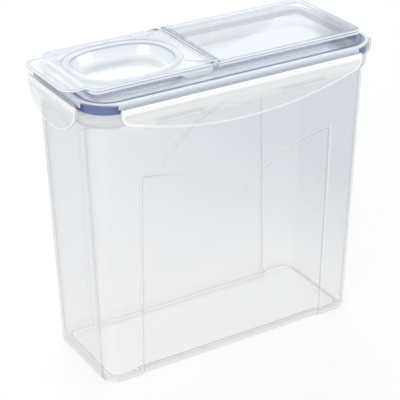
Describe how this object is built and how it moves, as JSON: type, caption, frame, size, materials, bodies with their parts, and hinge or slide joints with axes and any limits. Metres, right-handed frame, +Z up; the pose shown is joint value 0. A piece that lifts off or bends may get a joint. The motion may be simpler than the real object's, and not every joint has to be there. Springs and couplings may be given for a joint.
{
  "type": "cereal container",
  "caption": "Tall translucent cereal container with a clip-down lid, a clear fixed cover and a flip-up pouring flap with an oval plug.",
  "frame": {"origin": "centre of the bounding box at the resting face, under the middle of the overall length and width", "axes": "+X along the long side with the flap and its tab at -X, +Y to the rear long side, +Z up through the lid"},
  "size_m": [0.252, 0.1154, 0.234],
  "materials": {
    "clear_body": "translucent satin polypropylene, faint blue tint",
    "clear_lid": "translucent gloss polypropylene",
    "silicone": "matte silicone, blue",
    "clear_cover": "clear gloss",
    "clear_flap": "clear gloss",
    "seal_silicone": "soft translucent silicone, blue",
    "clear_latch": "translucent gloss polypropylene",
    "hinge_web": "thin translucent polypropylene"
  },
  "bodies": {
    "root": {"container_body": "clear_body", "lid_frame": "clear_lid", "lid_gasket": "silicone", "lid_cover": "clear_cover", "front_hinge_web": "hinge_web", "rear_hinge_web": "hinge_web", "left_hinge_web": "hinge_web", "right_hinge_web": "hinge_web"},
    "flap": {"flip_flap": "clear_flap", "flap_seal": "seal_silicone"},
    "front_latch": {"front_latch": "clear_latch"},
    "rear_latch": {"rear_latch": "clear_latch"},
    "left_latch": {"left_latch": "clear_latch"},
    "right_latch": {"right_latch": "clear_latch"}
  },
  "joints": [
    {"name": "flap_hinge", "type": "hinge", "parent": "root", "child": "flap", "pos_m": [-0.0135, 0, 0.2325], "axis": [0, 1, 0], "range_deg": [0, 105]},
    {"name": "front_latch_hinge", "type": "hinge", "parent": "root", "child": "front_latch", "pos_m": [0.0025, -0.0547, 0.223], "axis": [-1, 0, 0], "range_deg": [0, 120], "deforming": ["front_hinge_web"]},
    {"name": "rear_latch_hinge", "type": "hinge", "parent": "root", "child": "rear_latch", "pos_m": [0.0025, 0.0547, 0.223], "axis": [1, 0, 0], "range_deg": [0, 120], "deforming": ["rear_hinge_web"]},
    {"name": "left_latch_hinge", "type": "hinge", "parent": "root", "child": "left_latch", "pos_m": [-0.118, 0, 0.223], "axis": [0, 1, 0], "range_deg": [0, 120], "deforming": ["left_hinge_web"]},
    {"name": "right_latch_hinge", "type": "hinge", "parent": "root", "child": "right_latch", "pos_m": [0.123, 0, 0.223], "axis": [0, -1, 0], "range_deg": [0, 120], "deforming": ["right_hinge_web"]}
  ]
}
